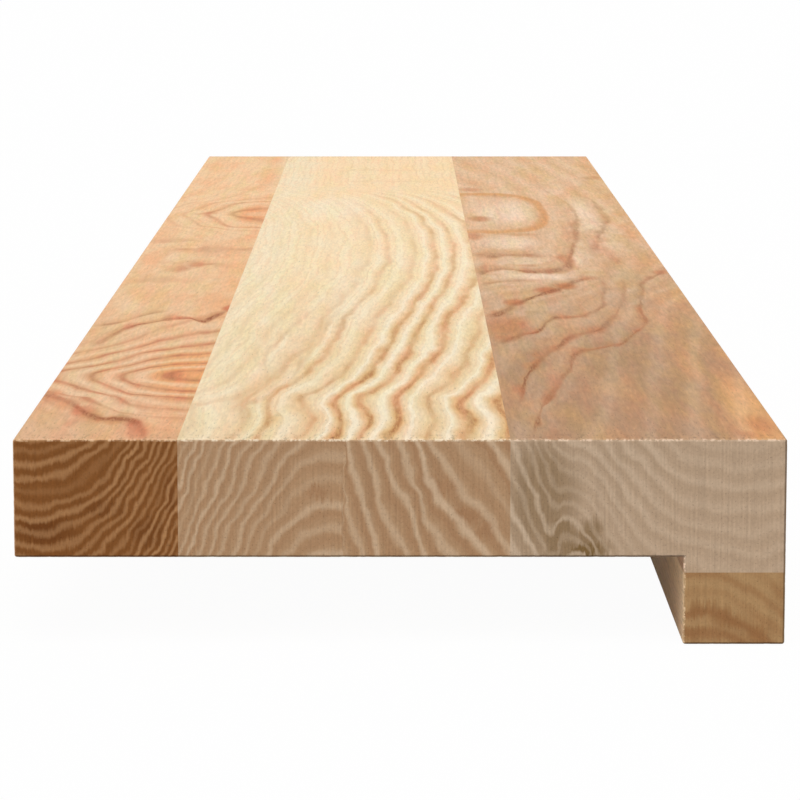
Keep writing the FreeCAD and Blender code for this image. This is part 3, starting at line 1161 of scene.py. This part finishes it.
def rail_of_stations(name, shape):
    """Stations from the near end to the far end, with how far the section is drawn in at each of them."""
    radius = shape.arris_radius
    reach = []
    for angle in rounding_angles()[:-1]:
        broken = math.sin(2 * angle) ** 0.5 if angle else 0.0
        reach.append((radius * (1 - math.cos(angle)), radius * (1 - math.sin(angle)), broken))
    for radii, broken in CHIP_FADE:
        reach.append((radius * radii, 0.0, broken))
    start = NEAR_END + reach[-1][0]
    flat_run = FAR_END - NEAR_END - 2 * reach[-1][0]
    spans = round(flat_run / STATION_SPACING)
    stations = [(NEAR_END + distance, inset, broken) for distance, inset, broken in reach]
    stations += [(start + flat_run * i / spans, 0.0, 0.0) for i in range(1, spans)]
    stations += [(FAR_END - distance, inset, broken) for distance, inset, broken in reversed(reach)]
    places = [(0.0, place, 0.0) for place, inset, broken in stations]
    return wire_object(
        name,
        places,
        False,
        station=places,
        draw_in=[inset for place, inset, broken in stations],
        arris=[broken for place, inset, broken in stations],
    )


def section_outline(name, corners, glued, shape):
    """A section of level and upright sides, drawn anticlockwise as seen from the near end.

    Side i runs from corner i to the next one, and the glued sides are numbered in glued. An outer corner
    between two free sides is rounded. Each point also holds the way it moves as a sawn end draws in.
    """
    radius = shape.arris_radius
    corners = [Vector(corner) for corner in corners]
    count = len(corners)
    ways = [(corners[(i + 1) % count] - corners[i]).normalized() for i in range(count)]
    inwards = [Vector((0.0, 0.0)) if i in glued else Vector((-ways[i].y, ways[i].x)) for i in range(count)]
    rounded = []
    for i in range(count):
        outer = ways[i - 1].cross(ways[i]) > 0
        free = i not in glued and (i - 1) % count not in glued
        rounded.append(outer and free)

    points = []
    for i in range(count):
        before, after = inwards[i - 1], inwards[i]
        if rounded[i]:
            centre = corners[i] + (before + after) * radius
            for angle in rounding_angles():
                inward = before * math.cos(angle) + after * math.sin(angle)
                points.append((centre - inward * radius, inward, False))
        else:
            points.append((corners[i], before + after, i in glued))
        following = (i + 1) % count
        start = corners[i] + ways[i] * (radius if rounded[i] else 0.0)
        stop = corners[following] - ways[i] * (radius if rounded[following] else 0.0)
        spacing = GLUED_SPACING if i in glued else shape.outline_spacing
        parts = max(1, round((stop - start).length / spacing))
        for part in range(1, parts):
            points.append((start.lerp(stop, part / parts), after, i in glued))

    runs = []
    for i, (point, inward, side_glued) in enumerate(points):
        length = (points[(i + 1) % len(points)][0] - point).length
        runs.append(length * (GLUED_SHARE if side_glued else 1.0))
    return wire_object(
        name,
        [(point.x, point.y, 0.0) for point, inward, side_glued in points],
        True,
        outline=[(point.x, 0.0, point.y) for point, inward, side_glued in points],
        inward=[(inward.x, 0.0, inward.y) for point, inward, side_glued in points],
        around=[sum(runs[:i]) / sum(runs) for i in range(len(runs))],
    )


def run_section(name, section, wood, shape, rear_fibre_and_highlight):
    """The plain mesh of a stave, from the Geometry Nodes tree."""
    stave = rail_of_stations(name, shape)
    tree = shared_group("Stave run along the board", build_stave_tree)
    modifier = stave.modifiers.new("Stave run", "NODES")
    modifier.node_group = tree
    values = {
        "Section": section,
        "Chip depth": shape.chip_depth,
        "Chip size": shape.chip_size,
        "Seed": shape.chip_seed,
        "Rear fibre and highlight": rear_fibre_and_highlight,
        "Weld": WELD,
        "Wood": wood,
    }
    for item in tree.interface.items_tree:
        if item.in_out == "INPUT" and item.name in values:
            modifier[item.identifier] = values[item.name]
    depsgraph = bpy.context.evaluated_depsgraph_get()
    mesh = bpy.data.meshes.new_from_object(stave.evaluated_get(depsgraph))
    if not mesh.polygons:
        raise RuntimeError(f"{name} came out empty")
    stave.modifiers.remove(modifier)
    stave.data = mesh
    bpy.data.objects.remove(section)
    return stave


def smooth_faces(mesh):
    """Smooth shading on the rounded arrises, with the flat ends and the square corners kept crisp."""
    mesh.shade_smooth()
    mesh.set_sharp_from_angle(angle=SHARP_ANGLE)
    sharp = mesh.attributes.get("sharp_edge") or mesh.attributes.new("sharp_edge", "BOOLEAN", "EDGE")
    edge_of = {tuple(sorted(edge.vertices)): edge.index for edge in mesh.edges}
    for face in mesh.polygons:
        if len(face.vertices) > 4:
            for pair in face.edge_keys:
                sharp.data[edge_of[tuple(sorted(pair))]].value = True


def lay_out_for_bake(mesh, low, high):
    """Gives each face its place on the baked map."""
    layer = mesh.uv_layers.new(name=BAKE_LAYOUT)
    around = [item.value for item in mesh.attributes["around"].data]
    size = high - low
    ends_start = LONG_FACES_WIDTH + LAYOUT_MARGIN
    ends_width = 1.0 - LAYOUT_MARGIN - ends_start
    end_height = 0.5 - 2 * LAYOUT_MARGIN
    for face in mesh.polygons:
        turns = [around[vertex] for vertex in face.vertices]
        seam = max(turns) - min(turns) > 0.5
        for corner, vertex, turn in zip(face.loop_indices, face.vertices, turns):
            place = mesh.vertices[vertex].co - low
            if abs(face.normal.y) > 0.5:
                start = LAYOUT_MARGIN + (0.5 if face.normal.y > 0 else 0.0)
                u = ends_start + ends_width * place.z / size.z
                v = start + end_height * place.x / size.x
            else:
                if seam and turn < 0.5:
                    turn += 1.0
                u = LAYOUT_MARGIN + (LONG_FACES_WIDTH - 2 * LAYOUT_MARGIN) * turn
                v = LAYOUT_MARGIN + (1.0 - 2 * LAYOUT_MARGIN) * place.y / size.y
            layer.data[corner].uv = (u, v)


def add_stave(piece, corners, finish):
    """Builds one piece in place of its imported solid."""
    shape = bpy.context.scene.sill_shape
    wood = wood_material(piece + "_wood", piece, finish)
    section = section_outline(piece + "_section", corners, GLUED_SIDES[piece], shape)
    stave = run_section(piece + "_sanded", section, wood, shape, REAR_FIBRE_AND_HIGHLIGHT[piece])
    smooth_faces(stave.data)
    lay_out_for_bake(stave.data, *BOXES[piece])
    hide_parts(piece)
    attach(stave, BODY)


def box_corners(piece):
    """The four corners of a plain section, from the lower rear one, anticlockwise."""
    low, high = BOXES[piece]
    return [(low.x, low.z), (high.x, low.z), (high.x, high.z), (low.x, high.z)]


class SILL_OT_rear_stave(bpy.types.Operator):
    """Build the stave at the window, glued along its front side"""

    bl_idname = "sill.rear_stave"
    bl_label = "Rear stave"

    def execute(self, context):
        add_stave("rear_stave", box_corners("rear_stave"), context.scene.sill_rear_finish)
        return {"FINISHED"}


class SILL_OT_middle_stave(bpy.types.Operator):
    """Build the wide stave, glued along both sides"""

    bl_idname = "sill.middle_stave"
    bl_label = "Middle stave"

    def execute(self, context):
        add_stave("middle_stave", box_corners("middle_stave"), context.scene.sill_middle_finish)
        return {"FINISHED"}


class SILL_OT_front_stave(bpy.types.Operator):
    """Build the stave at the room side, with the lip that the nose strip is glued under"""

    bl_idname = "sill.front_stave"
    bl_label = "Front stave"

    def execute(self, context):
        low, high = BOXES["front_stave"]
        lip_back = BOXES["nose_strip"][0].x
        corners = [
            (low.x, UNDERSIDE),
            (lip_back, UNDERSIDE),
            (lip_back, low.z),
            (high.x, low.z),
            (high.x, high.z),
            (low.x, high.z),
        ]
        add_stave("front_stave", corners, context.scene.sill_front_finish)
        return {"FINISHED"}


class SILL_OT_nose_strip(bpy.types.Operator):
    """Build the strip under the front stave's lip"""

    bl_idname = "sill.nose_strip"
    bl_label = "Nose strip"

    def execute(self, context):
        add_stave("nose_strip", box_corners("nose_strip"), context.scene.sill_nose_finish)
        return {"FINISHED"}


def seen_white(graph):
    """1 for rays that show the stage to the camera, straight or by way of gloss or glass."""
    path = graph.node("ShaderNodeLightPath").outputs
    seen = graph.math("MAXIMUM", path["Is Camera Ray"], path["Is Glossy Ray"])
    return graph.math("MAXIMUM", seen, path["Is Transmission Ray"])


def floor_material(whiteness):
    """Matt white that takes the board's shadow, lifted towards plain white for the camera."""
    material = bpy.data.materials.new("floor_white")
    graph = empty_graph(material)
    matt = graph.fed(graph.node("ShaderNodeBsdfDiffuse"), Color=FLOOR_GREY)[0]
    white = graph.node("ShaderNodeEmission").outputs[0]
    mixed = graph.node("ShaderNodeMixShader")
    share = graph.math("MULTIPLY", seen_white(graph), whiteness)
    for socket, value in zip(mixed.inputs, (share, matt, white)):
        graph.feed(socket, value)
    graph.fed(graph.node("ShaderNodeOutputMaterial"), Surface=mixed.outputs[0])
    return material


def light_world(ambient):
    """Even light from all round, in front of a white background."""
    world = bpy.data.worlds.new("even_light")
    graph = empty_graph(world)
    strength = graph.fade(seen_white(graph), 0.0, 1.0, ambient, 1.0, kind="LINEAR")
    background = graph.fed(graph.node("ShaderNodeBackground"), Strength=strength)[0]
    graph.fed(graph.node("ShaderNodeOutputWorld"), Surface=background)
    bpy.context.scene.world = world


class SILL_OT_stage(bpy.types.Operator):
    """Lay the floor and set up the light and the camera"""

    bl_idname = "sill.stage"
    bl_label = "Stage"

    def execute(self, context):
        scene = context.scene
        stage = scene.sill_stage
        half = stage.floor_size / 2
        corners = [(-half, -half, 0.0), (half, -half, 0.0), (half, half, 0.0), (-half, half, 0.0)]
        floor_mesh = bpy.data.meshes.new("floor")
        floor_mesh.from_pydata(corners, [], [(0, 1, 2, 3)])
        floor_mesh.materials.append(floor_material(stage.floor_white))
        floor = add_object("floor", floor_mesh)
        light_world(stage.ambient)

        sun_data = bpy.data.lights.new("soft_sun", "SUN")
        sun_data.energy = math.pi * stage.sun_level / math.cos(stage.sun_tilt)
        sun_data.angle = stage.sun_spread
        sun = add_object("soft_sun", sun_data)
        sun.location = (0.0, -1.0, 2.0)
        sun.rotation_euler = (stage.sun_tilt, 0.0, 0.0)

        camera_data = bpy.data.cameras.new("photo_view")
        camera_data.sensor_width = SENSOR_WIDTH
        camera_data.lens = stage.camera_lens
        camera = add_object("photo_view", camera_data)
        camera.location = stage.camera_place
        camera.rotation_euler = (math.radians(90.0) - stage.camera_pitch, 0.0, stage.camera_turn)
        scene.camera = camera
        scene.view_settings.view_transform = "Standard"
        return {"FINISHED"}


class SILL_PT_board(bpy.types.Panel):
    """Lists the pieces of the board, with their settings"""

    bl_idname = "SILL_PT_board"
    bl_label = "Window sill board"
    bl_space_type = "VIEW_3D"
    bl_region_type = "UI"
    bl_category = "Sill board"

    def draw(self, context):
        layout = self.layout
        for operator in PIECE_OPERATORS:
            layout.operator(operator.bl_idname)
        for label, (name, group) in SETTINGS.items():
            box = layout.box()
            box.label(text=label)
            for setting in group.__annotations__:
                box.prop(getattr(context.scene, name), setting)


PIECE_OPERATORS = (
    SILL_OT_rear_stave,
    SILL_OT_middle_stave,
    SILL_OT_front_stave,
    SILL_OT_nose_strip,
    SILL_OT_stage,
)
SETTINGS = {
    "Shape": ("sill_shape", SillBoardShape),
    "Rear stave": ("sill_rear_finish", RearStaveFinish),
    "Middle stave": ("sill_middle_finish", MiddleStaveFinish),
    "Front stave": ("sill_front_finish", FrontStaveFinish),
    "Nose strip": ("sill_nose_finish", NoseStripFinish),
    "Stage": ("sill_stage", SillBoardStage),
}


def register():
    for name, group in SETTINGS.values():
        bpy.utils.register_class(group)
        setattr(bpy.types.Scene, name, bpy.props.PointerProperty(type=group))
    for operator in PIECE_OPERATORS:
        bpy.utils.register_class(operator)
    bpy.utils.register_class(SILL_PT_board)


def unregister():
    bpy.utils.unregister_class(SILL_PT_board)
    for operator in reversed(PIECE_OPERATORS):
        bpy.utils.unregister_class(operator)
    for name, group in reversed(SETTINGS.values()):
        delattr(bpy.types.Scene, name)
        bpy.utils.unregister_class(group)


def main():
    register()
    bpy.ops.sill.rear_stave()
    bpy.ops.sill.middle_stave()
    bpy.ops.sill.front_stave()
    bpy.ops.sill.nose_strip()
    bpy.ops.sill.stage()


if __name__ == "__main__":
    main()
